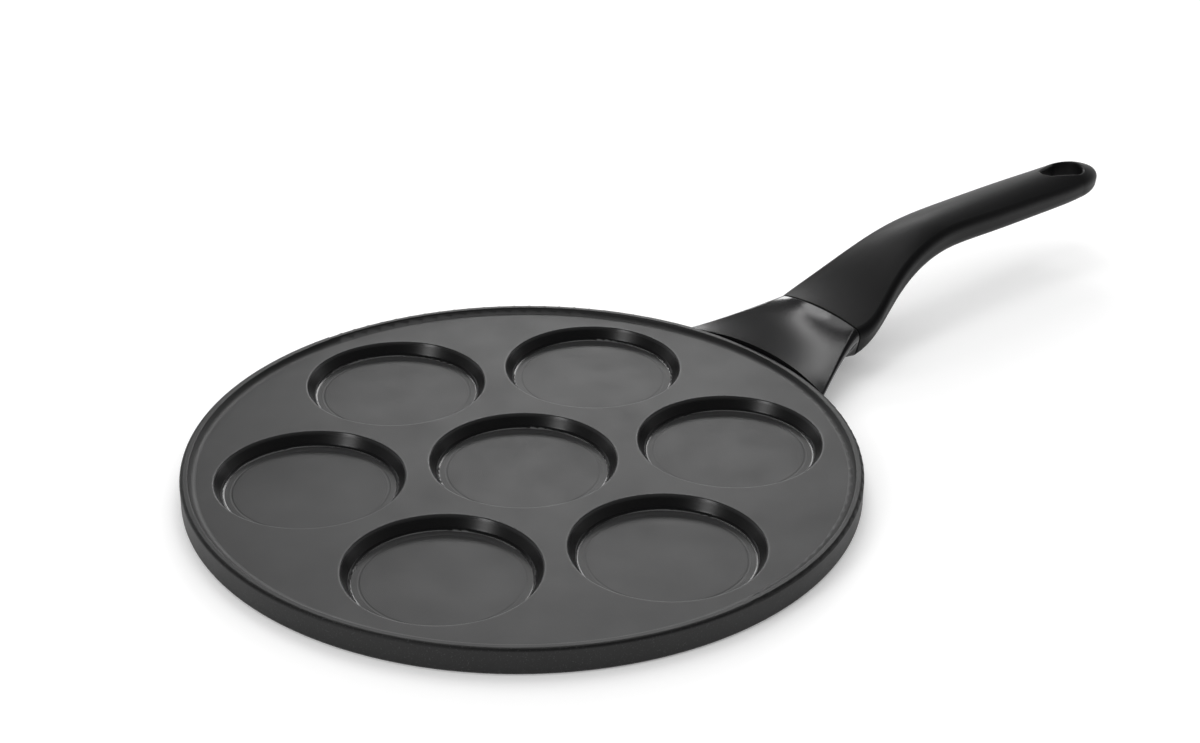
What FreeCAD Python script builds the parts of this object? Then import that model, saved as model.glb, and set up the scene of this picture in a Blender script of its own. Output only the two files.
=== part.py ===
# Pancake pan: a cast plate with round wells, a flared handle guard, a curved moulded grip and its screw.
# Frame: millimetres, +Z up, origin at the centre of the flat base, handle along +X.
import FreeCAD, Part
import math
import os
import Sketcher

os.makedirs("parts", exist_ok=True)
doc = FreeCAD.newDocument("PancakePan")
sheet = doc.addObject("Spreadsheet::Sheet", "Sizes")


class Length:
    """A size in mm that also carries the sheet expression it comes from."""

    def __init__(self, value, text):
        self.value = float(value)
        self.text = text

    def __add__(self, other):
        other = as_length(other)
        return Length(self.value + other.value, "(%s + %s)" % (self.text, other.text))

    def __sub__(self, other):
        other = as_length(other)
        return Length(self.value - other.value, "(%s - %s)" % (self.text, other.text))

    def __mul__(self, other):
        other = as_length(other)
        return Length(self.value * other.value, "(%s * %s)" % (self.text, other.text))

    def __truediv__(self, other):
        other = as_length(other)
        return Length(self.value / other.value, "(%s / %s)" % (self.text, other.text))


def as_length(number):
    return number if isinstance(number, Length) else Length(number, repr(float(number)))


def sine(angle):
    return Length(math.sin(math.radians(angle.value)), "sin(%s * 1 deg)" % angle.text)


def cosine(angle):
    return Length(math.cos(math.radians(angle.value)), "cos(%s * 1 deg)" % angle.text)


def tangent(angle):
    return Length(math.tan(math.radians(angle.value)), "tan(%s * 1 deg)" % angle.text)


def slope_angle(slope):
    return Length(math.degrees(math.atan(slope.value)), "(atan(%s) / 1 deg)" % slope.text)


def size(alias, value, meaning):
    """Put one driving dimension in the sheet and hand it back with its expression."""
    row = size.row
    sheet.set("A%d" % row, meaning)
    sheet.set("B%d" % row, str(value))
    sheet.setAlias("B%d" % row, alias)
    size.row = row + 1
    return Length(value, "Sizes." + alias)


size.row = 1

# The cast plate
rim_radius = size("rim_radius", 130, "outer radius of the rim and wall")
rim_height = size("rim_height", 10.6, "top of the rim above the base")
rim_width = size("rim_width", 3.0, "flat land on top of the rim")
rim_step = size("rim_step", 2.0, "top of the rim above the plate")
cove_run = size("cove_run", 1.3, "slope of the rim's inner side, measured outwards")
cove_round = size("cove_round", 3.2, "hollow round between plate and rim")
rim_round = size("rim_round", 1.3, "round on the outer top edge of the rim")
land_round = size("land_round", 0.5, "round on the inner top edge of the rim")
base_round = size("base_round", 1.6, "round where the wall meets the base")
plate_floor = size("plate_floor", 3.5, "metal left under each well")
well_web = size("well_web", 9.3, "plate left between neighbouring wells")
well_margin = size("well_margin", 8.1, "plate left between the outer wells and the foot of the rim")
well_draft = size("well_draft", 30.0, "lean of a well's wall, degrees from upright")
well_round = size("well_round", 1.6, "round between a well's wall and floor")
well_lip = size("well_lip", 0.7, "round on a well's upper edge")
well_count = 6
rim_foot = rim_radius - rim_width - cove_run
well_radius = (rim_foot - well_web - well_margin) / 3
well_ring = well_radius * 2 + well_web

# The handle as a whole, of which its cross-sections take shares
handle_reach = size("handle_reach", 192.0, "start of the handle's rounded tip, out from the wall")
tip_length = size("tip_length", 20.0, "length of the rounded tip, half of an oval seen from above")
handle_rise = size("handle_rise", 34.4, "crown of the level grip above the top of the rim")
grip_half = size("grip_half", 12.5, "half width of the level grip")
grip_depth = size("grip_depth", 12.9, "level grip from crown to underside")
grip_crown = size("grip_crown", 5.6, "crown of the level grip above the middles of its shoulder rounds")
joint_round = size("joint_round", 0.5, "round on the grip's front edge, which draws the line between guard and grip")
guard_round = size("guard_round", 1.2, "round of the guard's thin wings at the wall")
waist_round = size("waist_round", 2.0, "round of the guard's shoulders at its waist")
shoulder_round = size("shoulder_round", 4.0, "round of the grip's shoulders")
wing_belly_round = size("wing_belly_round", 3.0, "round of the guard's underside")
belly_round = size("belly_round", 4.0, "round of the grip's underside")


def station(name, place, along, rise, width, crown, depth, foot):
    """One cross-section of the handle: a crowned top, rounded shoulders, straight sides and a rounded belly."""
    half = grip_half * size(name + "_width", width, place + ": share of the grip's half width")
    top = handle_rise * size(name + "_rise", rise, place + ": share of the handle's rise")
    return {
        "out": handle_reach * size(name + "_along", along, place + ": share of the handle's reach"),
        "top": top,
        "half": half,
        "shoulder": top - grip_crown * size(name + "_crown", crown, place + ": share of the grip's crown"),
        "low": top - grip_depth * size(name + "_depth", depth, place + ": share of the grip's depth"),
        "belly": half * size(name + "_foot", foot, place + ": underside's share of the section's own width"),
    }


wing = station("wing", "guard inside the wall line", -0.061, -0.03, 3.42, 0.39, 0.59, 0.68)
flare = station("flare", "guard at the wall", 0.01, 0.055, 2.86, 0.41, 0.78, 0.67)
waist = station("waist", "guard's waist", 0.093, 0.165, 2.27, 0.44, 0.87, 0.71)
joint = station("joint", "guard and grip meet", 0.169, 0.328, 1.865, 1.06, 1.22, 0.95)
throat = station("throat", "grip above the joint", 0.265, 0.547, 1.7, 1.165, 1.13, 0.97)
neck = station("neck", "grip's neck", 0.348, 0.785, 1.33, 1.095, 1.09, 0.99)
bend = station("bend", "grip's upper bend", 0.431, 0.945, 1.12, 1.095, 1.06, 0.985)
palm = station("palm", "start of the level grip", 0.525, 1.0, 1.0, 1.0, 1.0, 0.985)
middle = station("middle", "middle of the level grip", 0.64, 1.0, 1.01, 1.05, 1.01, 0.985)
swell = station("swell", "grip's swell", 0.757, 0.99, 1.035, 1.11, 1.03, 0.985)
heel = station("heel", "grip before its tip", 0.878, 0.977, 1.045, 1.185, 1.03, 0.985)
tip = station("tip", "start of the rounded tip", 1.0, 0.965, 1.0, 1.23, 1.02, 0.985)

wings = [(section, guard_round, wing_belly_round) for section in (wing, flare)]
guard_stations = wings + [(waist, waist_round, wing_belly_round), (joint, shoulder_round, belly_round)]
grip_sections = (joint, throat, neck, bend, palm, middle, swell, heel, tip)
grip_stations = [(section, shoulder_round, belly_round) for section in grip_sections]

# The lug cast on the wall, which carries the handle and climbs inside it to the neck
lug_low = size("lug_low", 6.2, "underside of the lug below the top of the rim")
lug_thick = size("lug_thick", 4.6, "thickness of the lug")
lug_width = size("lug_width", 18.0, "width of the lug")
lug_level = size("lug_level", 6.0, "level start of the lug, out from the wall")
lug_cover = size("lug_cover", 4.0, "grip's plastic under the lug at the neck")
lug_short = size("lug_short", 5.3, "end of the lug before the neck")
lug_gap = size("lug_gap", 0.2, "clearance round the lug")
lug_reach = neck["out"] - lug_short
lug_rise = slope_angle((neck["low"] + lug_cover + lug_low) / (neck["out"] - lug_level))

# The screw that holds the grip on the lug
screw_inset = size("screw_inset", 11.0, "screw's place on the lug's underside, back from the lug's end")
screw_radius = size("screw_radius", 2.5, "radius of the screw's shank")
screw_gap = size("screw_gap", 0.3, "clearance round the shank in the grip")
head_radius = size("head_radius", 4.4, "radius of the screw's head")
head_height = size("head_height", 2.8, "height of the screw's head")
head_gap = size("head_gap", 0.6, "clearance round the head in its recess")
screw_seat = size("screw_seat", 3.4, "plastic between the screw's head and the lug")
drive_radius = size("drive_radius", 1.6, "radius of the hexagon drive in the head")
drive_depth = size("drive_depth", 1.6, "depth of the hexagon drive")
screw_out = lug_reach - screw_inset

# The hanging hole, a drop with its wide end in the tip and its narrow end towards the plate
hang_ahead = size("hang_ahead", 2.5, "middle of the hole's wide end beyond the start of the rounded tip")
hang_radius = size("hang_radius", 7.2, "radius of the hole's wide end")
hang_narrow = size("hang_narrow", 3.4, "radius of the hole's narrow end")
hang_length = size("hang_length", 13.9, "between the middles of the hole's two ends")
hang_round = size("hang_round", 1.0, "round on the hole's edges")


def origin_plane(body, role):
    return [item for item in body.Origin.OriginFeatures if item.Role == role][0]


def new_sketch(body, name, role, offsets):
    """A sketch on one of the body's own planes, moved by bound offsets along that plane's axes."""
    sketch = body.newObject("Sketcher::SketchObject", name)
    sketch.AttachmentSupport = (origin_plane(body, role), [""])
    sketch.MapMode = "FlatFace"
    for axis, length in offsets.items():
        sketch.setExpression("AttachmentOffset.Base." + axis, length.text)
    return sketch


def bind(sketch, kind, *parts):
    """Add a constraint whose last part is a bound length."""
    length = parts[-1]
    index = sketch.addConstraint(Sketcher.Constraint(kind, *parts[:-1], length.value))
    sketch.setExpression("Constraints[%d]" % index, length.text)


def place_point(sketch, edge, point, across, along):
    """Fix a point of the sketch at bound coordinates, either side of the origin."""
    for kind, length in (("DistanceX", across), ("DistanceY", along)):
        if length.value < 0:
            bind(sketch, kind, edge, point, -1, 1, as_length(0) - length)
        else:
            bind(sketch, kind, -1, 1, edge, point, length)


def polygon(sketch, corners):
    """Closed outline of straight edges through bound corners."""
    count = len(corners)
    points = [FreeCAD.Vector(across.value, along.value, 0) for across, along in corners]
    for index in range(count):
        sketch.addGeometry(Part.LineSegment(points[index], points[(index + 1) % count]), False)
    for index in range(count):
        sketch.addConstraint(Sketcher.Constraint("Coincident", index, 2, (index + 1) % count, 1))
    for index, (across, along) in enumerate(corners):
        place_point(sketch, index, 1, across, along)


def circle(sketch, across, along, radius):
    centre = FreeCAD.Vector(across.value, along.value, 0)
    edge = sketch.addGeometry(Part.Circle(centre, FreeCAD.Vector(0, 0, 1), radius.value), False)
    place_point(sketch, edge, 3, across, along)
    bind(sketch, "Radius", edge, radius)


def arc(sketch, centre, radius, start, end):
    """Arc drawn anticlockwise between two angles in radians."""
    ring = Part.Circle(FreeCAD.Vector(centre[0], centre[1], 0), FreeCAD.Vector(0, 0, 1), radius)
    return sketch.addGeometry(Part.ArcOfCircle(ring, start, end), False)


def line(sketch, start, end):
    ends = FreeCAD.Vector(start[0], start[1], 0), FreeCAD.Vector(end[0], end[1], 0)
    return sketch.addGeometry(Part.LineSegment(*ends), False)


def section_sketch(body, name, sizes, shoulder_radius, belly_radius, half_only=False):
    """One cross-section of the handle, whole and in its place for a loft or its +Y half for the turned tip."""
    sketch = new_sketch(body, name, "YZ_Plane", {} if half_only else {"z": rim_radius + sizes["out"]})
    top = rim_height + sizes["top"]
    level = rim_height + sizes["shoulder"]
    low = rim_height + sizes["low"]
    reach = sizes["half"] - shoulder_radius
    foot = sizes["belly"] - belly_radius
    belly_level = low + belly_radius
    drop = top - level
    crown = (reach * reach + drop * drop - shoulder_radius * shoulder_radius) / ((drop - shoulder_radius) * 2)
    crown_level = top.value - crown.value
    shoulder_turn = math.atan2(level.value - crown_level, reach.value)
    across = reach.value - foot.value
    up = level.value - belly_level.value
    lean = math.acos((belly_radius.value - shoulder_radius.value) / math.hypot(across, up))
    side_turn = math.atan2(up, across) - lean
    normal = math.cos(side_turn), math.sin(side_turn)
    side_low = foot.value + belly_radius.value * normal[0], belly_level.value + belly_radius.value * normal[1]
    side_high = reach.value + shoulder_radius.value * normal[0], level.value + shoulder_radius.value * normal[1]
    right = 1.5 * math.pi
    bottom_start = 0.0 if half_only else -foot.value
    bottom = line(sketch, (bottom_start, low.value), (foot.value, low.value))
    belly = arc(sketch, (foot.value, belly_level.value), belly_radius.value, -math.pi / 2, side_turn)
    side = line(sketch, side_low, side_high)
    shoulder = arc(sketch, (reach.value, level.value), shoulder_radius.value, side_turn, shoulder_turn)
    crown_end = math.pi / 2 if half_only else math.pi - shoulder_turn
    crowned = arc(sketch, (0, crown_level), crown.value, shoulder_turn, crown_end)
    chain = [bottom, belly, side, shoulder, crowned]
    if half_only:
        axis = line(sketch, (0, top.value), (0, low.value))
        sketch.addConstraint(Sketcher.Constraint("Coincident", crowned, 2, axis, 1))
        sketch.addConstraint(Sketcher.Constraint("Coincident", axis, 2, bottom, 1))
        sketch.addConstraint(Sketcher.Constraint("PointOnObject", axis, 1, -2))
        sketch.addConstraint(Sketcher.Constraint("PointOnObject", axis, 2, -2))
    else:
        left_shoulder = arc(sketch, (-reach.value, level.value), shoulder_radius.value,
                            math.pi - shoulder_turn, math.pi - side_turn)
        left_side = line(sketch, (-side_high[0], side_high[1]), (-side_low[0], side_low[1]))
        left_belly = arc(sketch, (-foot.value, belly_level.value), belly_radius.value, math.pi - side_turn, right)
        chain += [left_shoulder, left_side, left_belly]
        sketch.addConstraint(Sketcher.Constraint("Tangent", left_belly, 2, bottom, 1))
        sketch.addConstraint(Sketcher.Constraint("Equal", belly, left_belly))
        sketch.addConstraint(Sketcher.Constraint("Equal", shoulder, left_shoulder))
        bind(sketch, "DistanceX", left_shoulder, 3, -1, 1, reach)
        bind(sketch, "DistanceX", left_belly, 3, -1, 1, foot)
    for first, second in zip(chain, chain[1:]):
        sketch.addConstraint(Sketcher.Constraint("Tangent", first, 2, second, 1))
    sketch.addConstraint(Sketcher.Constraint("Horizontal", bottom))
    sketch.addConstraint(Sketcher.Constraint("PointOnObject", crowned, 3, -2))
    place_point(sketch, shoulder, 3, reach, level)
    place_point(sketch, belly, 3, foot, belly_level)
    bind(sketch, "Radius", shoulder, shoulder_radius)
    bind(sketch, "Radius", belly, belly_radius)
    bind(sketch, "Radius", crowned, crown)
    return sketch


def loft(body, name, stations):
    sketches = [section_sketch(body, "%sSection%d" % (name, number), *item) for number, item in enumerate(stations)]
    solid = body.newObject("PartDesign::AdditiveLoft", name)
    solid.Profile = sketches[0]
    solid.Sections = sketches[1:]
    doc.recompute()
    return solid


def lug_outline(body, name, grow):
    """Side view of the lug, grown all round by a clearance; it starts inside the rim's land."""
    root = rim_radius - rim_width / 2
    bend = rim_radius + lug_level
    low = rim_height - lug_low
    slope = tangent(lug_rise)
    half_turn = tangent(lug_rise / 2)
    end = rim_radius + lug_reach + grow
    under = grow * half_turn
    over = (grow + lug_thick) * half_turn
    lower_end = low + (end - bend) * slope - grow / cosine(lug_rise)
    upper_end = low + (end - bend) * slope + (grow + lug_thick) / cosine(lug_rise)
    sketch = new_sketch(body, name, "XZ_Plane", {})
    polygon(sketch, [
        (root, low - grow),
        (bend + under, low - grow),
        (end, lower_end),
        (end, upper_end),
        (bend - over, low + lug_thick + grow),
        (root, low + lug_thick + grow),
    ])
    return sketch


def screw_plane(body, name, lift):
    """Sketch square to the screw, lifted along its axis from the lug's underside."""
    sketch = new_sketch(body, name, "XY_Plane", {
        "x": rim_radius + screw_out - lift * sine(lug_rise),
        "z": screw_level() + lift * cosine(lug_rise),
    })
    sketch.AttachmentOffset = FreeCAD.Placement(FreeCAD.Vector(), FreeCAD.Rotation(FreeCAD.Vector(0, -1, 0), lug_rise.value))
    sketch.setExpression("AttachmentOffset.Rotation.Angle", lug_rise.text)
    return sketch


def screw_level():
    return rim_height - lug_low + (screw_out - lug_level) * tangent(lug_rise)


def pocket(body, name, sketch, depth=None, both_ways=False):
    """Cut downwards from the sketch, through everything or to a bound depth."""
    before = body.Shape.Volume
    cut = body.newObject("PartDesign::Pocket", name)
    cut.Profile = sketch
    cut.Type = "ThroughAll" if depth is None else "Length"
    if both_ways:
        cut.SideType = "Symmetric"
    if depth is not None:
        cut.setExpression("Length", depth.text)
    doc.recompute()
    if body.Shape.Volume > before - 1.0:
        raise RuntimeError(name + " removes nothing")
    return cut


def round_edges(body, name, wanted, radius):
    """Round the edges of the body's last feature that pass the test."""
    base = body.Tip
    names = ["Edge%d" % (number + 1) for number, edge in enumerate(base.Shape.Edges) if wanted(edge)]
    if not names:
        raise RuntimeError(name + " finds no edge")
    fillet = body.newObject("PartDesign::Fillet", name)
    fillet.Base = (base, names)
    fillet.setExpression("Radius", radius.text)
    doc.recompute()


def ring_edge(radius, height):
    """Test for a level circle of this radius at this height."""
    def wanted(edge):
        curve = edge.Curve
        if not isinstance(curve, Part.Circle) or abs(abs(curve.Axis.z) - 1) > 1e-6:
            return False
        return abs(curve.Radius - radius) < 0.01 and abs(curve.Center.z - height) < 0.01
    return wanted


def new_body(name):
    body = doc.addObject("PartDesign::Body", name)
    body.Label = name
    return body


def make_pan():
    body = new_body("pan_body")
    plate_top = rim_height - rim_step
    land = rim_radius - rim_width
    zero = as_length(0)
    outline = new_sketch(body, "PlateOutline", "XZ_Plane", {})
    polygon(outline, [
        (zero, zero),
        (rim_radius, zero),
        (rim_radius, rim_height),
        (land, rim_height),
        (rim_foot, plate_top),
        (zero, plate_top),
    ])
    plate = body.newObject("PartDesign::Revolution", "Plate")
    plate.Profile = outline
    plate.ReferenceAxis = (outline, ["V_Axis"])
    plate.Angle = 360
    doc.recompute()
    round_edges(body, "CoveRound", ring_edge(rim_foot.value, plate_top.value), cove_round)
    round_edges(body, "LandRound", ring_edge(land.value, rim_height.value), land_round)
    round_edges(body, "RimRound", ring_edge(rim_radius.value, rim_height.value), rim_round)
    round_edges(body, "BaseRound", ring_edge(rim_radius.value, 0), base_round)

    depth = plate_top - plate_floor
    middle = new_sketch(body, "MiddleWellCircle", "XY_Plane", {"z": plate_top})
    circle(middle, zero, zero, well_radius)
    middle_well = pocket(body, "MiddleWell", middle, depth)
    middle_well.setExpression("TaperAngle", "-" + well_draft.text)
    half_step = as_length(180.0 / well_count)
    outer = new_sketch(body, "OuterWellCircle", "XY_Plane", {"z": plate_top})
    circle(outer, well_ring * cosine(half_step), well_ring * sine(half_step), well_radius)
    outer_well = pocket(body, "OuterWell", outer, depth)
    outer_well.setExpression("TaperAngle", "-" + well_draft.text)
    wells = body.newObject("PartDesign::PolarPattern", "OuterWells")
    wells.Originals = [outer_well]
    wells.Axis = (origin_axis(body, "Z_Axis"), [""])
    wells.Angle = 360
    wells.Occurrences = well_count
    body.Tip = wells
    doc.recompute()
    floor_radius = well_radius.value - depth.value * math.tan(math.radians(well_draft.value))
    round_edges(body, "WellRounds", ring_edge(floor_radius, plate_floor.value), well_round)
    round_edges(body, "WellLips", ring_edge(well_radius.value, plate_top.value), well_lip)

    lug = body.newObject("PartDesign::Pad", "Lug")
    lug.Profile = lug_outline(body, "LugOutline", zero)
    lug.SideType = "Symmetric"
    lug.setExpression("Length", lug_width.text)
    doc.recompute()
    above = lug_thick + 1
    hole = screw_plane(body, "ScrewHoleCircle", above)
    circle(hole, zero, zero, screw_radius)
    pocket(body, "ScrewHole", hole, above + 1)
    return body


def origin_axis(body, role):
    return [item for item in body.Origin.OriginFeatures if item.Role == role][0]


def make_guard():
    body = new_body("handle_guard")
    loft(body, "Hood", guard_stations)
    seat = new_sketch(body, "WallCircle", "XY_Plane", {"z": rim_height * 4})
    circle(seat, as_length(0), as_length(0), rim_radius)
    pocket(body, "WallSeat", seat)
    pocket(body, "LugSlot", lug_outline(body, "SlotOutline", lug_gap), lug_width + lug_gap * 2, both_ways=True)
    return body


def end_edge(place, body):
    """Test for the outer edges of a flat end face square to the handle at this place."""
    face = [item for item in body.Tip.Shape.Faces
            if isinstance(item.Surface, Part.Plane) and abs(item.CenterOfMass.x - place) < 0.01][0]
    outline = face.OuterWire.Edges

    def wanted(edge):
        return any(edge.isSame(item) for item in outline)
    return wanted


def make_tip():
    """The handle's end: its last section turned half round about an upright axis, then drawn out to an oval."""
    turned = new_body("TipTurned")
    outline = section_sketch(turned, "TipSection", *grip_stations[-1], half_only=True)
    half_turn = turned.newObject("PartDesign::Revolution", "TipHalfTurn")
    half_turn.Profile = outline
    half_turn.ReferenceAxis = (outline, ["V_Axis"])
    half_turn.Angle = 180
    half_turn.Reversed = True
    doc.recompute()
    drawn = doc.addObject("Part::Scale", "TipDrawnOut")
    drawn.Base = turned
    drawn.Uniform = False
    drawn.setExpression("XScale", (tip_length / tip["half"]).text)
    drawn.YScale = 1
    drawn.ZScale = 1
    drawn.setExpression("Placement.Base.x", (rim_radius + handle_reach).text)
    return drawn


def make_grip():
    shaft = new_body("GripShaft")
    loft(shaft, "Handle", grip_stations)
    whole = doc.addObject("Part::MultiFuse", "GripWhole")
    whole.Shapes = [shaft, make_tip()]
    doc.recompute()
    body = new_body("handle_grip")
    body.BaseFeature = whole
    doc.recompute()
    joint_at = (rim_radius + grip_stations[0][0]["out"]).value
    round_edges(body, "JointRound", end_edge(joint_at, body), joint_round)
    pocket(body, "Socket", lug_outline(body, "SocketOutline", lug_gap), lug_width + lug_gap * 2, both_ways=True)
    zero = as_length(0)
    shank = screw_plane(body, "ShankCircle", zero)
    circle(shank, zero, zero, screw_radius + screw_gap)
    pocket(body, "ShankHole", shank, screw_seat + 1)
    recess = screw_plane(body, "RecessCircle", zero - screw_seat)
    circle(recess, zero, zero, head_radius + head_gap)
    pocket(body, "ScrewRecess", recess)
    cut_hang_hole(body)
    return body


def cut_hang_hole(body):
    """Drop-shaped hole: a wide and a narrow round end joined by two straight sides."""
    sketch = new_sketch(body, "HangOutline", "XY_Plane", {"z": rim_height * 8})
    wide = rim_radius + handle_reach + hang_ahead
    narrow = wide - hang_length
    turn = math.acos((hang_narrow.value - hang_radius.value) / hang_length.value)
    across, up = math.cos(turn), math.sin(turn)
    wide_touch = wide.value + hang_radius.value * across, hang_radius.value * up
    narrow_touch = narrow.value + hang_narrow.value * across, hang_narrow.value * up
    wide_end = arc(sketch, (wide.value, 0), hang_radius.value, -turn, turn)
    upper = line(sketch, wide_touch, narrow_touch)
    narrow_end = arc(sketch, (narrow.value, 0), hang_narrow.value, turn, 2 * math.pi - turn)
    lower = line(sketch, (narrow_touch[0], -narrow_touch[1]), (wide_touch[0], -wide_touch[1]))
    chain = [wide_end, upper, narrow_end, lower, wide_end]
    for first, second in zip(chain, chain[1:]):
        sketch.addConstraint(Sketcher.Constraint("Tangent", first, 2, second, 1))
    for end, middle_place, radius in ((wide_end, wide, hang_radius), (narrow_end, narrow, hang_narrow)):
        sketch.addConstraint(Sketcher.Constraint("PointOnObject", end, 3, -1))
        bind(sketch, "DistanceX", -1, 1, end, 3, middle_place)
        bind(sketch, "Radius", end, radius)
    pocket(body, "HangHole", sketch)
    mouth = (narrow - hang_narrow).value, (wide + hang_radius).value
    round_edges(body, "HangRounds", rim_of_hole(*mouth), hang_round)


def rim_of_hole(start, end):
    """Test for the edges round both mouths of the hanging hole, which lie between two places on the handle."""
    def wanted(edge):
        box = edge.BoundBox
        upright = box.ZLength > box.XLength + box.YLength
        inside = box.XMin > start - 0.01 and box.XMax < end + 0.01
        return inside and not upright and max(abs(box.YMin), abs(box.YMax)) < hang_radius.value + 0.01
    return wanted


def make_screw():
    """Screw in its own frame, shank up along Z from the seat under its head, then set on the lug."""
    body = new_body("handle_screw")
    zero = as_length(0)
    end = screw_seat + lug_thick
    outline = new_sketch(body, "ScrewOutline", "XZ_Plane", {})
    polygon(outline, [
        (zero, zero - head_height),
        (head_radius, zero - head_height),
        (head_radius, zero),
        (screw_radius, zero),
        (screw_radius, end),
        (zero, end),
    ])
    turned = body.newObject("PartDesign::Revolution", "TurnedScrew")
    turned.Profile = outline
    turned.ReferenceAxis = (outline, ["V_Axis"])
    turned.Angle = 360
    doc.recompute()
    drive = new_sketch(body, "DriveHexagon", "XY_Plane", {"z": zero - head_height + drive_depth})
    corners = []
    for number in range(6):
        turn = as_length(60.0 * number)
        corners.append((drive_radius * cosine(turn), drive_radius * sine(turn)))
    polygon(drive, corners)
    pocket(body, "Drive", drive, drive_depth + 1)
    body.Placement = FreeCAD.Placement(FreeCAD.Vector(), FreeCAD.Rotation(FreeCAD.Vector(0, -1, 0), lug_rise.value))
    body.setExpression("Placement.Rotation.Angle", lug_rise.text)
    body.setExpression("Placement.Base.x", (rim_radius + screw_out + screw_seat * sine(lug_rise)).text)
    body.setExpression("Placement.Base.z", (screw_level() - screw_seat * cosine(lug_rise)).text)
    return body


doc.recompute()
bodies = [make_pan(), make_guard(), make_grip(), make_screw()]
doc.recompute()

for item in doc.Objects:
    if "Invalid" in item.State or "Error" in item.State:
        raise RuntimeError(item.Name + " failed: " + ", ".join(item.State))
for body in bodies:
    shape = body.Shape
    if shape.isNull() or not shape.isValid() or len(shape.Solids) != 1:
        raise RuntimeError(body.Label + " is not one valid solid")
    print(body.Label, "volume", round(shape.Volume / 1000.0, 2), "cm3", shape.BoundBox)

for body in bodies:
    body.Shape.exportStep("parts/%s.step" % body.Label)
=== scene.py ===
"""Pancake pan: finishes, close detail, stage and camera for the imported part."""

import math

import bpy
from bpy.props import FloatProperty, FloatVectorProperty, IntProperty, PointerProperty
from mathutils import Matrix, Vector


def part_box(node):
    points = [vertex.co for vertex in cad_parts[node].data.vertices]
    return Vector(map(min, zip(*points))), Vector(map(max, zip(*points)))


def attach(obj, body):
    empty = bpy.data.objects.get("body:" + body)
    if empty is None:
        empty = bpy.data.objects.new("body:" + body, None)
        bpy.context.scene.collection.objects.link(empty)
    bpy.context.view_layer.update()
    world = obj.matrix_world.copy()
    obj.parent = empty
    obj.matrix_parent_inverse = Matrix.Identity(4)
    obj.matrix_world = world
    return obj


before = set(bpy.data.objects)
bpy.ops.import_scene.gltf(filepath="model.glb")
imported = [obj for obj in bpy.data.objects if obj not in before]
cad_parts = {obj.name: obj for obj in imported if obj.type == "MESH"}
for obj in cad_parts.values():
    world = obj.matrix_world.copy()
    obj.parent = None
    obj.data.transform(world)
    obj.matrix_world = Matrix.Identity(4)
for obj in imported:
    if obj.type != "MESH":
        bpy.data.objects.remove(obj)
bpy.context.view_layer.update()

bl_info = {
    "name": "Pancake pan",
    "version": (1, 0, 0),
    "blender": (4, 5, 0),
    "location": "View3D > Sidebar > Pancake pan",
    "description": "Finishes, detail, stage and camera for a pancake pan",
    "category": "Object",
}

RIM_RADIUS = -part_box("pan_body")[0][0]
SEAM_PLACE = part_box("handle_grip")[0][0]

WHITE = (1.0, 1.0, 1.0, 1.0)
QUARTER_TURN = math.radians(90.0)

# Noise: cells per metre, and the span of its values that is used.
PATCH_SCALE = 9.0
DRIFT_SCALE = 24.0
UNEVEN_SCALE = 60.0
STEEL_SCALE = 900.0
SPECK_SCALE = 1500.0
FINE_SCALE = 2600.0
MIDDLE_SPAN = (0.3, 0.7)
WIDE_SPAN = (0.2, 0.8)
SPECK_SPAN = (0.60, 0.72)

# Floor, world and camera.
FLOOR_CORNERS = 64
FLOOR_DROP = 0.0001
FLOOR_ROUGHNESS = 0.9
FLOOR_SPECULAR = 0.1
BEHIND_SPAN = (0.2, 0.8)
SENSOR_WIDTH = 36.0
CLIP_START = 0.01
CLIP_END = 50.0


class PanSizes(bpy.types.PropertyGroup):
    """Sizes of the pan that its finishes follow."""

    foot_round: FloatProperty(
        name="Foot round", description="Round between the outer wall and the base",
        default=0.0016, unit="LENGTH")
    foot_steps: IntProperty(
        name="Foot steps", description="Points across the round of the foot", default=9, min=2)
    foot_segments: IntProperty(
        name="Foot segments", description="Steps round the foot", default=360, min=12)
    wall_band: FloatProperty(
        name="Wall band", description="Width of the rim's outer band that has the wall's coating",
        default=0.0012, unit="LENGTH")
    base_band: FloatProperty(
        name="Base band", description="Height up to which the base's coating reaches",
        default=0.0002, unit="LENGTH")
    outer_wells: IntProperty(
        name="Outer wells", description="Wells round the middle one", default=6, min=3)
    well_ring: FloatProperty(
        name="Well ring", description="Radius of the circle of outer wells",
        default=0.0815, unit="LENGTH")
    well_radius: FloatProperty(
        name="Well radius", description="Radius of a well at the plate",
        default=0.0361, unit="LENGTH")
    well_floor: FloatProperty(
        name="Well floor", description="Radius of a well's flat floor",
        default=0.0322, unit="LENGTH")
    well_groove: FloatProperty(
        name="Well groove", description="Radius of the faint groove in a well's floor",
        default=0.0296, unit="LENGTH")
    groove_width: FloatProperty(
        name="Groove width", description="Half width of the groove in a well's floor",
        default=0.0006, unit="LENGTH")
    foot_width: FloatProperty(
        name="Foot width", description="Width of the round at the foot of a well's wall",
        default=0.0014, unit="LENGTH")
    foot_fade: FloatVectorProperty(
        name="Foot fade", description="Shares of the foot width where its smoother coating fades",
        size=2, default=(0.4, 0.7))
    lip_fade: FloatVectorProperty(
        name="Lip fade", description="Distances from a well's edge where its shine fades",
        size=2, default=(0.0003, 0.0008), unit="LENGTH")
    seam_shade_fade: FloatVectorProperty(
        name="Seam fade", description="Distances from the handle's seam where its dark line fades",
        size=2, default=(0.0003, 0.0006), unit="LENGTH")
    ring_pitch: FloatProperty(
        name="Ring pitch", description="Distance between two turned rings",
        default=0.0007, unit="LENGTH")


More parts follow.
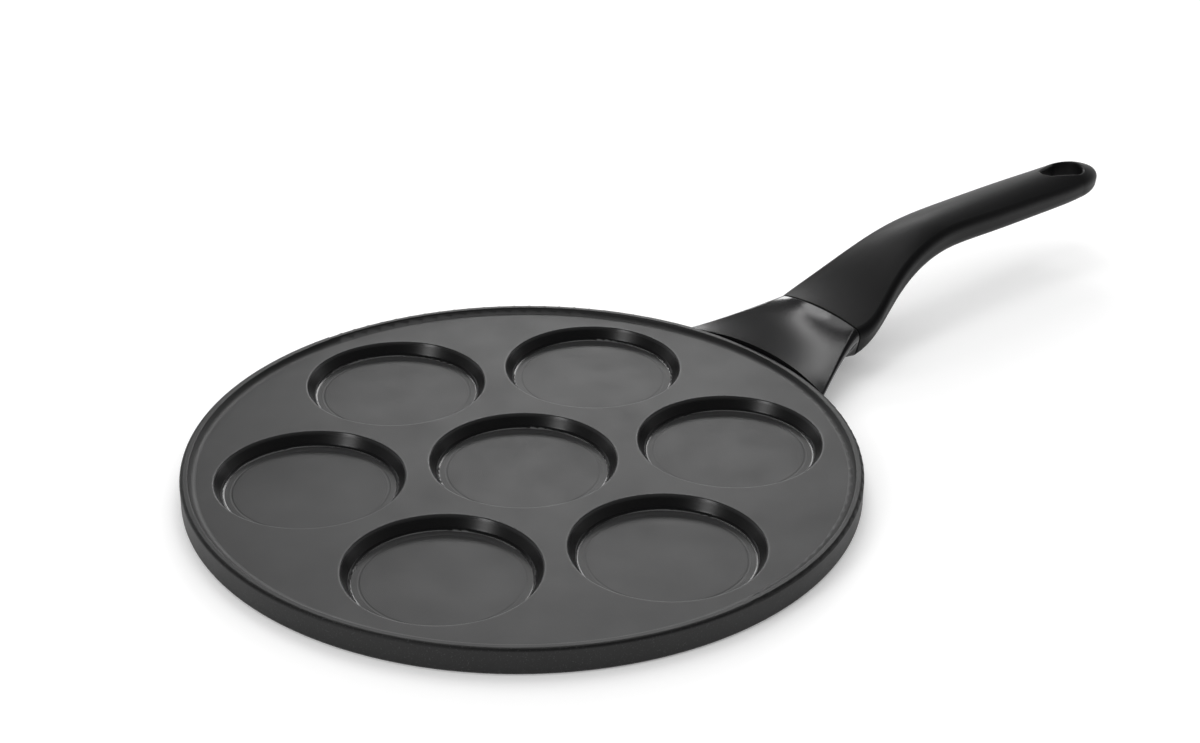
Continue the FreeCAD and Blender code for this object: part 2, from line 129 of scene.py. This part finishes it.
class PanColours(bpy.types.PropertyGroup):
    """Colours of the pan."""

    coating: FloatVectorProperty(
        name="Coating", description="Non-stick coating on the plate",
        subtype="COLOR", size=3, default=(0.008, 0.008, 0.0083))
    worn: FloatVectorProperty(
        name="Paler coating", description="Slightly paler patches of the coating",
        subtype="COLOR", size=3, default=(0.02, 0.02, 0.0205))
    # Painted highlight: a paler coating colour along each well's edge stands for the light that
    # the edge catches.
    lip_gloss_and_painted_highlight: FloatVectorProperty(
        name="Lip", description="Coating on the edge of a well",
        subtype="COLOR", size=3, default=(0.022, 0.022, 0.0225))
    speck: FloatVectorProperty(
        name="Specks", description="Fine specks in the coating",
        subtype="COLOR", size=3, default=(0.05, 0.05, 0.052))
    # The outer wall and base have this darker coating of their own; coating_material also puts it
    # on the wells' sloping walls as painted shade.
    wall: FloatVectorProperty(
        name="Outer wall", description="Sprayed coating on the wall and base",
        subtype="COLOR", size=3, default=(0.003, 0.003, 0.0032))
    guard: FloatVectorProperty(
        name="Guard", description="Satin plastic of the guard",
        subtype="COLOR", size=3, default=(0.004, 0.004, 0.0043))
    grip: FloatVectorProperty(
        name="Grip", description="Matt plastic of the grip",
        subtype="COLOR", size=3, default=(0.004, 0.004, 0.0043))
    # Painted shade: the dark line stands for the shade in the crease where the two mouldings meet.
    seam: FloatVectorProperty(
        name="Seam", description="Dark line where the two mouldings meet",
        subtype="COLOR", size=3, default=(0.0005, 0.0005, 0.0005))
    steel: FloatVectorProperty(
        name="Screw", description="Zinc-plated steel of the screw",
        subtype="COLOR", size=3, default=(0.55, 0.55, 0.56))


class PanFinishes(bpy.types.PropertyGroup):
    """Roughness, shine and fine relief of the pan's materials."""

    coating_rough: FloatVectorProperty(
        name="Coating roughness", description="Lowest and highest roughness of the coating",
        size=2, default=(0.44, 0.50))
    wall_rougher: FloatProperty(
        name="Wall rougher", description="Roughness added on the wall and base", default=0.06)
    slope_smoother: FloatProperty(
        name="Slope smoother", description="Roughness taken off a well's slope", default=0.16)
    lip_smoother: FloatProperty(
        name="Lip smoother", description="Roughness taken off a well's edge", default=0.1)
    foot_smoother: FloatProperty(
        name="Foot smoother", description="Roughness taken off the foot of a well's wall",
        default=0.07)
    coating_ior: FloatProperty(
        name="Coating IOR", description="Index of refraction of the coating", default=1.45)
    worn_share: FloatProperty(
        name="Paler share", description="Most that a paler patch shows", default=0.3)
    speck_share: FloatVectorProperty(
        name="Speck share", description="How much the specks show on the plate and on the wall",
        size=2, default=(0.08, 0.45))
    groove_relief: FloatVectorProperty(
        name="Groove relief", description="Bump strength and depth of the groove",
        size=2, default=(0.6, 0.0001))
    ring_relief: FloatVectorProperty(
        name="Ring relief", description="Bump strength and depth of the turned rings",
        size=2, default=(0.22, 0.00002))
    grain_relief: FloatVectorProperty(
        name="Grain relief", description="Bump strength and depth of the coating's grain",
        size=2, default=(0.5, 0.00007))
    grain_share: FloatVectorProperty(
        name="Grain share", description="How much of the grain the plate and the wall have",
        size=2, default=(0.35, 1.0))
    guard_rough: FloatProperty(
        name="Guard roughness", description="Roughness of the satin plastic", default=0.13)
    guard_ior: FloatProperty(
        name="Guard IOR", description="Index of refraction of the satin plastic", default=1.5)
    guard_grain: FloatProperty(
        name="Guard grain", description="Size of the satin plastic's grain",
        default=0.0006, unit="LENGTH")
    guard_relief: FloatVectorProperty(
        name="Guard relief", description="Bump strength and depth of the satin plastic's grain",
        size=2, default=(0.5, 0.000006))
    grip_rough: FloatProperty(
        name="Grip roughness", description="Roughness of the matt plastic", default=0.43)
    grip_ior: FloatProperty(
        name="Grip IOR", description="Index of refraction of the matt plastic", default=1.26)
    grip_grain: FloatProperty(
        name="Grip grain", description="Size of the matt plastic's grain",
        default=0.0004, unit="LENGTH")
    grip_relief: FloatVectorProperty(
        name="Grip relief", description="Bump strength and depth of the matt plastic's grain",
        size=2, default=(0.5, 0.00003))
    plastic_drift: FloatVectorProperty(
        name="Plastic drift", description="Roughness that the plastics lose and gain in patches",
        size=2, default=(-0.03, 0.04))
    tint_drift: FloatProperty(
        name="Tint drift", description="How much paler than the tint a patch would be in full",
        default=1.5)
    tint_share: FloatProperty(
        name="Tint share", description="Most that a paler patch of plastic shows", default=0.25)
    screw_rough: FloatVectorProperty(
        name="Screw roughness", description="Lowest and highest roughness of the screw",
        size=2, default=(0.24, 0.4))
    screw_relief: FloatVectorProperty(
        name="Screw relief", description="Bump strength and depth of the turning marks",
        size=2, default=(0.2, 0.00002))


class StageSettings(bpy.types.PropertyGroup):
    """Camera, floor, backdrop and lamps."""

    azimuth: FloatProperty(
        name="Azimuth", description="Turn of the camera round the pan",
        subtype="ANGLE", default=math.radians(-41.43))
    elevation: FloatProperty(
        name="Elevation", description="Camera's height above the horizon",
        subtype="ANGLE", default=math.radians(27.81))
    roll: FloatProperty(
        name="Roll", description="Camera's turn about its line of sight",
        subtype="ANGLE", default=math.radians(0.61))
    distance: FloatProperty(
        name="Distance", description="Camera to the point it looks at",
        default=0.9378, unit="LENGTH")
    aim: FloatVectorProperty(
        name="Aim", description="Point on the floor that the camera looks at",
        subtype="TRANSLATION", size=3, default=(0.0805, 0.0474, -0.0002))
    lens: FloatProperty(
        name="Lens", description="Focal length in millimetres", default=66.93, min=10)
    floor_radius: FloatProperty(
        name="Floor radius", description="Radius of the pale floor", default=6.0, unit="LENGTH")
    floor_colour: FloatVectorProperty(
        name="Floor colour", description="Colour of the pale floor",
        subtype="COLOR", size=3, default=(0.93, 0.93, 0.93))
    floor_lift: FloatProperty(
        name="Floor lift", description="Brightness added to the floor where it is seen",
        default=0.16, min=0.0)
    backdrop_low: FloatProperty(
        name="Backdrop fades from",
        description="Height angle at which the white backdrop starts to fade",
        subtype="ANGLE", default=math.radians(9.0))
    backdrop_high: FloatProperty(
        name="Backdrop ends", description="Height angle at which the dim ceiling begins",
        subtype="ANGLE", default=math.radians(24.0))
    ceiling: FloatProperty(
        name="Ceiling", description="Brightness of the studio above the backdrop",
        default=0.2, min=0.0)
    room: FloatProperty(
        name="Room", description="Share of the backdrop's brightness left on the camera's side",
        default=0.3, min=0.0)
    fill: FloatProperty(
        name="Fill", description="Even light from all round", default=0.72, min=0.0)
    back_box: FloatVectorProperty(
        name="Back softbox",
        description="Turn from straight behind the pan, height angle, and distance",
        size=3, default=(math.radians(42.0), math.radians(29.5), 1.6))
    back_size: FloatVectorProperty(
        name="Back softbox size", description="Width and height",
        size=2, default=(0.72, 0.22), unit="LENGTH")
    back_watts: FloatProperty(
        name="Back softbox power", description="Power in watts", default=4.9, min=0.0)
    top_box: FloatVectorProperty(
        name="Top softbox",
        description="Turn from straight behind the pan, height angle, and distance",
        size=3, default=(math.radians(31.0), math.radians(49.5), 1.6))
    top_size: FloatVectorProperty(
        name="Top softbox size", description="Width and height",
        size=2, default=(0.41, 0.08), unit="LENGTH")
    top_watts: FloatProperty(
        name="Top softbox power", description="Power in watts", default=0.5, min=0.0)
    seam_box: FloatVectorProperty(
        name="Seam softbox",
        description="Turn from straight behind the pan, height angle, and distance",
        size=3, default=(math.radians(15.2), math.radians(51.7), 1.6))
    seam_size: FloatVectorProperty(
        name="Seam softbox size", description="Width and height",
        size=2, default=(0.15, 0.39), unit="LENGTH")
    seam_watts: FloatProperty(
        name="Seam softbox power", description="Power in watts", default=0.8, min=0.0)
    high_box: FloatVectorProperty(
        name="High softbox",
        description="Turn from straight behind the pan, height angle, and distance",
        size=3, default=(math.radians(42.0), math.radians(71.0), 1.6))
    high_size: FloatVectorProperty(
        name="High softbox size", description="Width and height",
        size=2, default=(0.80, 0.80), unit="LENGTH")
    high_watts: FloatProperty(
        name="High softbox power", description="Power in watts", default=4.0, min=0.0)
    side_box: FloatVectorProperty(
        name="Side softbox",
        description="Turn from straight behind the pan, height angle, and distance",
        size=3, default=(math.radians(-94.0), math.radians(28.0), 1.6))
    side_size: FloatVectorProperty(
        name="Side softbox size", description="Width and height",
        size=2, default=(0.28, 0.60), unit="LENGTH")
    side_watts: FloatProperty(
        name="Side softbox power", description="Power in watts", default=3.4, min=0.0)


class Nodes:
    """Short way to add and link the nodes of one tree."""

    def __init__(self, tree):
        self.nodes = tree.nodes
        self.links = tree.links

    def feed(self, socket, value):
        if isinstance(value, bpy.types.NodeSocket):
            self.links.new(value, socket)
        else:
            socket.default_value = value

    def add(self, kind, inputs=None, **settings):
        """New node; inputs gives sockets, by name or number, a value or another node's socket."""
        node = self.nodes.new(kind)
        for key, value in settings.items():
            setattr(node, key, value)
        for key, value in (inputs or {}).items():
            self.feed(node.inputs[key], value)
        return node

    def maths(self, operation, *values):
        return self.add("ShaderNodeMath", dict(enumerate(values)), operation=operation).outputs[0]

    def spread(self, value, span, to_span, kind="LINEAR"):
        """Map a value from one span to another, without going past its ends."""
        inputs = dict(enumerate((value, *span, *to_span)))
        return self.add("ShaderNodeMapRange", inputs, interpolation_type=kind).outputs["Result"]

    def split(self, vector):
        return self.add("ShaderNodeSeparateXYZ", {0: vector}).outputs

    def distance_from(self, first, second):
        """Length of a flat vector, given its two parts."""
        squares = [self.maths("MULTIPLY", part, part) for part in (first, second)]
        return self.maths("SQRT", self.maths("ADD", *squares))

    def gap(self, value, place):
        """How far a value lies from a place, on either side."""
        return self.maths("ABSOLUTE", self.maths("SUBTRACT", value, place))


class Shader(Nodes):
    """Short way to build one material."""

    def __init__(self, name):
        self.material = bpy.data.materials.new(name)
        self.material.use_nodes = True
        super().__init__(self.material.node_tree)
        self.surface = self.nodes["Principled BSDF"]

    def place(self):
        return self.add("ShaderNodeTexCoord").outputs["Object"]

    def noise(self, vector, scale, detail=2.0, roughness=0.5):
        inputs = {"Vector": vector, "Scale": scale, "Detail": detail, "Roughness": roughness}
        return self.add("ShaderNodeTexNoise", inputs).outputs["Fac"]

    def mix(self, factor, first, second):
        inputs = {"Factor": factor, 6: first, 7: second}
        return self.add("ShaderNodeMix", inputs, data_type="RGBA").outputs[2]

    def bump(self, height, relief, before=None):
        strength, depth = relief
        inputs = {"Strength": strength, "Distance": depth, "Height": height}
        if before is not None:
            inputs["Normal"] = before
        return self.add("ShaderNodeBump", inputs).outputs["Normal"]

    def finish(self, **inputs):
        """Set the surface's inputs; an underscore stands for a space."""
        for key, value in inputs.items():
            self.feed(self.surface.inputs[key.replace("_", " ")], value)


def node_object(name):
    """The frame's own object of a CAD node."""
    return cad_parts[name]


def colour(value):
    return (value[0], value[1], value[2], 1.0)


def dress(piece, material):
    """Give every slot of a piece this material."""
    if not piece.material_slots:
        piece.data.materials.append(material)
    for slot in piece.material_slots:
        slot.material = material


def coating_material(sizes, colours, finishes):
    """Non-stick coating: satin plate and wells with faint turned rings, speckled wall, and painted
    shade on the wells' sloping walls.
    """
    shader = Shader("nonstick_coating")
    place = shader.place()
    across, along, up = shader.split(place)

    from_middle = shader.distance_from(across, along)
    nearest = from_middle
    for number in range(sizes.outer_wells):
        turn = math.tau * (number + 0.5) / sizes.outer_wells
        side = shader.maths("SUBTRACT", across, sizes.well_ring * math.cos(turn))
        front = shader.maths("SUBTRACT", along, sizes.well_ring * math.sin(turn))
        nearest = shader.maths("MINIMUM", nearest, shader.distance_from(side, front))

    in_well = shader.maths("LESS_THAN", nearest, sizes.well_radius)
    on_wall = shader.maths("GREATER_THAN", from_middle, RIM_RADIUS - sizes.wall_band)
    outside = shader.maths("MAXIMUM", on_wall, shader.maths("LESS_THAN", up, sizes.base_band))
    inside = shader.maths("SUBTRACT", 1.0, outside)
    # The wells' sloping walls take the outer wall's darker colour below: painted shade.
    on_slope = shader.maths(
        "MULTIPLY", in_well, shader.maths("GREATER_THAN", nearest, sizes.well_floor))
    dark = shader.maths("MAXIMUM", outside, on_slope)
    # Mask of each well's edge: it carries the painted highlight and also lowers the roughness
    # there.
    lip_gloss_and_painted_highlight = shader.spread(shader.gap(nearest, sizes.well_radius), sizes.lip_fade, (1.0, 0.0))
    lip_gloss_and_painted_highlight = shader.maths("MULTIPLY", lip_gloss_and_painted_highlight, inside)
    foot_fade = [share * sizes.foot_width for share in sizes.foot_fade]
    foot = shader.spread(
        shader.gap(nearest, sizes.well_floor + sizes.foot_width / 2), foot_fade, (1.0, 0.0))

    uneven = shader.noise(place, UNEVEN_SCALE)
    patch = shader.noise(place, PATCH_SCALE, 3.0)
    speck = shader.noise(place, SPECK_SCALE)
    fine = shader.noise(place, FINE_SCALE, 3.0, 0.6)

    # Darker colour on the outer wall and base (their own coating) and on the wells' slopes
    # (painted shade).
    base = shader.mix(dark, colour(colours.coating), colour(colours.wall))
    worn = shader.spread(patch, MIDDLE_SPAN, (0.0, finishes.worn_share))
    worn = shader.maths("MULTIPLY", worn, shader.maths("SUBTRACT", 1.0, dark))
    base = shader.mix(worn, base, colour(colours.worn))
    speck = shader.maths("MULTIPLY", shader.spread(speck, SPECK_SPAN, (0.0, 1.0)),
                         shader.spread(outside, (0.0, 1.0), finishes.speck_share))
    base = shader.mix(speck, base, colour(colours.speck))
    # Painted highlight: the paler lip colour along each well's edge.
    base = shader.mix(lip_gloss_and_painted_highlight, base, colour(colours.lip_gloss_and_painted_highlight))

    rough = shader.spread(uneven, WIDE_SPAN, finishes.coating_rough)
    for mask, change in ((outside, finishes.wall_rougher), (on_slope, -finishes.slope_smoother),
                         (lip_gloss_and_painted_highlight, -finishes.lip_smoother), (foot, -finishes.foot_smoother)):
        rough = shader.maths("ADD", rough, shader.maths("MULTIPLY", mask, change))

    groove = shader.spread(
        shader.gap(nearest, sizes.well_groove), (0.0, sizes.groove_width), (0.0, 1.0))
    normal = shader.bump(shader.maths("MULTIPLY", groove, inside), finishes.groove_relief)
    radius = shader.maths("ADD", shader.maths("MULTIPLY", nearest, in_well),
                          shader.maths("MULTIPLY", from_middle,
                                       shader.maths("SUBTRACT", 1.0, in_well)))
    rings = shader.maths("SINE", shader.maths("MULTIPLY", radius, math.tau / sizes.ring_pitch))
    rings = shader.maths("MULTIPLY", rings, shader.spread(uneven, MIDDLE_SPAN, (0.2, 1.0)))
    normal = shader.bump(shader.maths("MULTIPLY", rings, inside), finishes.ring_relief, normal)
    grain = shader.spread(outside, (0.0, 1.0), finishes.grain_share)
    normal = shader.bump(shader.maths("MULTIPLY", fine, grain), finishes.grain_relief, normal)

    shader.finish(Base_Color=base, Roughness=rough, Normal=normal, IOR=finishes.coating_ior)
    return shader.material


def plastic_material(name, tint, rough, ior, grain_size, relief, scene):
    """Moulded plastic: fine grain, roughness that drifts, and painted shade as a dull dark line at
    the seam.
    """
    sizes, finishes = scene.pan_sizes, scene.pan_finishes
    shader = Shader(name)
    place = shader.place()
    along = shader.split(place)[0]
    # Mask of the seam: painted shade darkens the colour there, and the roughness goes up to full.
    seam = shader.spread(shader.gap(along, SEAM_PLACE), sizes.seam_shade_fade, (1.0, 0.0))
    drift = shader.noise(place, DRIFT_SCALE, 3.0)
    paler = [part * finishes.tint_drift for part in tint]
    base = shader.mix(shader.spread(drift, MIDDLE_SPAN, (0.0, finishes.tint_share)),
                      colour(tint), colour(paler))
    # Painted shade in the seam's crease.
    base = shader.mix(seam, base, colour(scene.pan_colours.seam))
    level = shader.spread(drift, WIDE_SPAN, [rough + part for part in finishes.plastic_drift])
    grain = shader.noise(place, 1.0 / grain_size, 2.0, 0.55)
    shader.finish(Base_Color=base, Roughness=shader.maths("MAXIMUM", level, seam),
                  Normal=shader.bump(grain, relief), IOR=ior)
    return shader.material


def steel_material(tint, finishes):
    """Zinc-plated steel with faint turning marks."""
    shader = Shader("zinc_plated_steel")
    marks = shader.noise(shader.place(), STEEL_SCALE)
    shader.finish(Base_Color=colour(tint), Metallic=1.0,
                  Roughness=shader.spread(marks, MIDDLE_SPAN, finishes.screw_rough),
                  Normal=shader.bump(marks, finishes.screw_relief))
    return shader.material


def foot_tree():
    """Node tree that carries a quarter round along a circle: the skin of the pan's foot."""
    tree = bpy.data.node_groups.new("smooth_foot", "GeometryNodeTree")
    for name, kind in (("Radius", "NodeSocketFloat"), ("Round", "NodeSocketFloat"),
                       ("Segments", "NodeSocketInt"), ("Steps", "NodeSocketInt"),
                       ("Coating", "NodeSocketMaterial")):
        tree.interface.new_socket(name, in_out="INPUT", socket_type=kind)
    tree.interface.new_socket("Geometry", in_out="OUTPUT", socket_type="NodeSocketGeometry")
    make = Nodes(tree)
    given = make.add("NodeGroupInput").outputs
    circle = make.add("GeometryNodeCurvePrimitiveCircle", {
        "Resolution": given["Segments"],
        "Radius": make.maths("SUBTRACT", given["Radius"], given["Round"])})
    arc = make.add("GeometryNodeCurveArc", {
        "Resolution": given["Steps"], "Radius": given["Round"],
        "Start Angle": 0.0, "Sweep Angle": QUARTER_TURN})
    skin = make.add("GeometryNodeCurveToMesh", {
        "Curve": circle.outputs["Curve"], "Profile Curve": arc.outputs["Curve"]})
    height = make.add("ShaderNodeCombineXYZ", {"Z": given["Round"]})
    raised = make.add("GeometryNodeTransform", {
        "Geometry": skin.outputs["Mesh"], "Translation": height.outputs[0]})
    smooth = make.add("GeometryNodeSetShadeSmooth", {"Geometry": raised.outputs["Geometry"]})
    real = make.add("GeometryNodeRealizeInstances", {"Geometry": smooth.outputs["Geometry"]})
    coat = make.add("GeometryNodeSetMaterial", {
        "Geometry": real.outputs["Geometry"], "Material": given["Coating"]})
    make.add("NodeGroupOutput", {"Geometry": coat.outputs["Geometry"]})
    return tree


def add_smooth_foot(sizes, material):
    """Smooth skin over the round between wall and base, which keeps the lower edge even."""
    tree = foot_tree()
    maker = bpy.data.objects.new("foot_maker", bpy.data.meshes.new("foot_maker"))
    bpy.context.collection.objects.link(maker)
    modifier = maker.modifiers.new("smooth_foot", "NODES")
    modifier.node_group = tree
    values = {"Radius": RIM_RADIUS, "Round": sizes.foot_round, "Segments": sizes.foot_segments,
              "Steps": sizes.foot_steps, "Coating": material}
    for socket in tree.interface.items_tree:
        if socket.in_out == "INPUT":
            modifier[socket.identifier] = values[socket.name]
    made = maker.evaluated_get(bpy.context.evaluated_depsgraph_get())
    mesh = bpy.data.meshes.new_from_object(made)
    maker.modifiers.remove(modifier)
    bpy.data.objects.remove(maker)
    foot = bpy.data.objects.new("smooth_foot", mesh)
    bpy.context.collection.objects.link(foot)
    dress(foot, material)
    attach(foot, "root")


class PAN_OT_finish_casting(bpy.types.Operator):
    """Coat the casting: satin plate and wells, speckled wall, even foot"""

    bl_idname = "pancake_pan.finish_casting"
    bl_label = "Coat the casting"

    def execute(self, context):
        scene = context.scene
        coating = coating_material(scene.pan_sizes, scene.pan_colours, scene.pan_finishes)
        dress(node_object("pan_body"), coating)
        add_smooth_foot(scene.pan_sizes, coating)
        return {"FINISHED"}


class PAN_OT_finish_guard(bpy.types.Operator):
    """Give the guard its satin plastic"""

    bl_idname = "pancake_pan.finish_guard"
    bl_label = "Finish the guard"

    def execute(self, context):
        scene, finishes = context.scene, context.scene.pan_finishes
        dress(node_object("handle_guard"), plastic_material(
            "satin_plastic", scene.pan_colours.guard, finishes.guard_rough, finishes.guard_ior,
            finishes.guard_grain, finishes.guard_relief, scene))
        return {"FINISHED"}


class PAN_OT_finish_grip(bpy.types.Operator):
    """Give the grip its matt moulded plastic"""

    bl_idname = "pancake_pan.finish_grip"
    bl_label = "Finish the grip"

    def execute(self, context):
        scene, finishes = context.scene, context.scene.pan_finishes
        dress(node_object("handle_grip"), plastic_material(
            "matt_plastic", scene.pan_colours.grip, finishes.grip_rough, finishes.grip_ior,
            finishes.grip_grain, finishes.grip_relief, scene))
        return {"FINISHED"}


class PAN_OT_finish_screw(bpy.types.Operator):
    """Give the screw its plated steel"""

    bl_idname = "pancake_pan.finish_screw"
    bl_label = "Finish the screw"

    def execute(self, context):
        scene = context.scene
        dress(node_object("handle_screw"),
              steel_material(scene.pan_colours.steel, scene.pan_finishes))
        return {"FINISHED"}


def add_floor(settings):
    """Pale round floor, wider than the picture; its lift brings it up to the backdrop's white."""
    mesh = bpy.data.meshes.new("floor")
    turns = [math.tau * step / FLOOR_CORNERS for step in range(FLOOR_CORNERS)]
    corners = [(settings.floor_radius * math.cos(turn), settings.floor_radius * math.sin(turn),
                -FLOOR_DROP) for turn in turns]
    mesh.from_pydata(corners, [], [tuple(range(FLOOR_CORNERS))])
    floor = bpy.data.objects.new("floor", mesh)
    bpy.context.collection.objects.link(floor)
    shader = Shader("pale_floor")
    path = shader.add("ShaderNodeLightPath").outputs
    shown = shader.maths("MAXIMUM", path["Is Camera Ray"], path["Is Glossy Ray"])
    shown = shader.maths("MAXIMUM", shown, path["Is Transmission Ray"])
    shader.finish(Base_Color=colour(settings.floor_colour), Roughness=FLOOR_ROUGHNESS,
                  Specular_IOR_Level=FLOOR_SPECULAR, Emission_Color=WHITE,
                  Emission_Strength=shader.maths("MULTIPLY", shown, settings.floor_lift))
    dress(floor, shader.material)


def add_softbox(name, aim, direction, size, watts):
    """Softbox that faces the pan: a turn, a height angle and a distance place it."""
    lamp = bpy.data.lights.new(name, "AREA")
    lamp.shape = "RECTANGLE"
    lamp.size, lamp.size_y = size
    lamp.energy = watts
    turn, rise, reach = direction
    away = Vector((math.sin(turn) * math.cos(rise), math.cos(turn) * math.cos(rise),
                   math.sin(rise)))
    holder = bpy.data.objects.new(name, lamp)
    holder.location = Vector(aim) + away * reach
    holder.rotation_euler = (-away).to_track_quat("-Z", "Y").to_euler()
    holder.visible_camera = False
    bpy.context.collection.objects.link(holder)


def set_world(settings):
    """White for the camera, a backdrop and dim room for reflections, an even light otherwise."""
    world = bpy.data.worlds.new("studio")
    world.use_nodes = True
    bpy.context.scene.world = world
    make = Nodes(world.node_tree)
    fill = make.nodes["Background"]
    make.feed(fill.inputs["Color"], WHITE)
    make.feed(fill.inputs["Strength"], settings.fill)
    across, along, up = make.split(make.add("ShaderNodeTexCoord").outputs["Generated"])
    behind = make.maths("ADD", make.maths("MULTIPLY", across, -math.sin(settings.azimuth)),
                        make.maths("MULTIPLY", along, math.cos(settings.azimuth)))
    rise = (math.sin(settings.backdrop_low), math.sin(settings.backdrop_high))
    height = make.spread(up, rise, (1.0, settings.ceiling), "SMOOTHSTEP")
    depth = make.spread(behind, BEHIND_SPAN, (settings.room, 1.0), "SMOOTHSTEP")
    level = make.maths("MULTIPLY", height, depth)
    path = make.add("ShaderNodeLightPath").outputs
    seen = make.add("ShaderNodeBackground", {
        "Color": WHITE, "Strength": make.maths("MAXIMUM", level, path["Is Camera Ray"])})
    shown = make.maths("MAXIMUM", path["Is Camera Ray"], path["Is Glossy Ray"])
    shown = make.maths("MAXIMUM", shown, path["Is Transmission Ray"])
    mix = make.add("ShaderNodeMixShader", {0: shown, 1: fill.outputs[0], 2: seen.outputs[0]})
    make.feed(make.nodes["World Output"].inputs["Surface"], mix.outputs[0])


def add_camera(settings):
    """Camera at the picture's viewing angle."""
    data = bpy.data.cameras.new("camera")
    data.lens = settings.lens
    data.sensor_width = SENSOR_WIDTH
    data.clip_start = CLIP_START
    data.clip_end = CLIP_END
    camera = bpy.data.objects.new("camera", data)
    turn, rise, roll = settings.azimuth, settings.elevation, settings.roll
    back = Vector((math.sin(turn) * math.cos(rise), -math.cos(turn) * math.cos(rise),
                   math.sin(rise)))
    right = (-back).cross(Vector((0, 0, 1))).normalized()
    up = back.cross(right)
    rolled_right = right * math.cos(roll) + up * math.sin(roll)
    rolled_up = up * math.cos(roll) - right * math.sin(roll)
    place = Matrix((rolled_right, rolled_up, back)).transposed().to_4x4()
    place.translation = Vector(settings.aim) + back * settings.distance
    camera.matrix_world = place
    bpy.context.collection.objects.link(camera)
    bpy.context.scene.camera = camera


class PAN_OT_stage(bpy.types.Operator):
    """Pale floor, soft lamps and the camera"""

    bl_idname = "pancake_pan.stage"
    bl_label = "Set the stage"

    def execute(self, context):
        settings = context.scene.pan_stage
        context.scene.view_settings.view_transform = "Standard"
        add_floor(settings)
        set_world(settings)
        for name, direction, size, watts in (
                ("back_softbox", settings.back_box, settings.back_size, settings.back_watts),
                ("top_softbox", settings.top_box, settings.top_size, settings.top_watts),
                ("seam_softbox", settings.seam_box, settings.seam_size, settings.seam_watts),
                ("high_softbox", settings.high_box, settings.high_size, settings.high_watts),
                ("side_softbox", settings.side_box, settings.side_size, settings.side_watts)):
            add_softbox(name, settings.aim, direction, size, watts)
        add_camera(settings)
        return {"FINISHED"}


OPERATORS = (PAN_OT_finish_casting, PAN_OT_finish_guard, PAN_OT_finish_grip,
             PAN_OT_finish_screw, PAN_OT_stage)


class PAN_PT_sidebar(bpy.types.Panel):
    """Sizes, colours, finishes and steps of the pancake pan"""

    bl_idname = "PAN_PT_sidebar"
    bl_label = "Pancake pan"
    bl_space_type = "VIEW_3D"
    bl_region_type = "UI"
    bl_category = "Pancake pan"

    def draw(self, context):
        layout = self.layout
        scene = context.scene
        for group in (scene.pan_sizes, scene.pan_colours, scene.pan_finishes, scene.pan_stage):
            box = layout.box()
            for name in group.bl_rna.properties.keys():
                if name not in ("rna_type", "name"):
                    box.prop(group, name)
        for operator in OPERATORS:
            layout.operator(operator.bl_idname)


GROUPS = (PanSizes, PanColours, PanFinishes, StageSettings)
CLASSES = GROUPS + OPERATORS + (PAN_PT_sidebar,)


def register():
    for item in CLASSES:
        bpy.utils.register_class(item)
    bpy.types.Scene.pan_sizes = PointerProperty(type=PanSizes)
    bpy.types.Scene.pan_colours = PointerProperty(type=PanColours)
    bpy.types.Scene.pan_finishes = PointerProperty(type=PanFinishes)
    bpy.types.Scene.pan_stage = PointerProperty(type=StageSettings)


def unregister():
    del bpy.types.Scene.pan_sizes
    del bpy.types.Scene.pan_colours
    del bpy.types.Scene.pan_finishes
    del bpy.types.Scene.pan_stage
    for item in reversed(CLASSES):
        bpy.utils.unregister_class(item)


def main():
    register()
    bpy.ops.pancake_pan.finish_casting()
    bpy.ops.pancake_pan.finish_guard()
    bpy.ops.pancake_pan.finish_grip()
    bpy.ops.pancake_pan.finish_screw()
    bpy.ops.pancake_pan.stage()


if __name__ == "__main__":
    main()
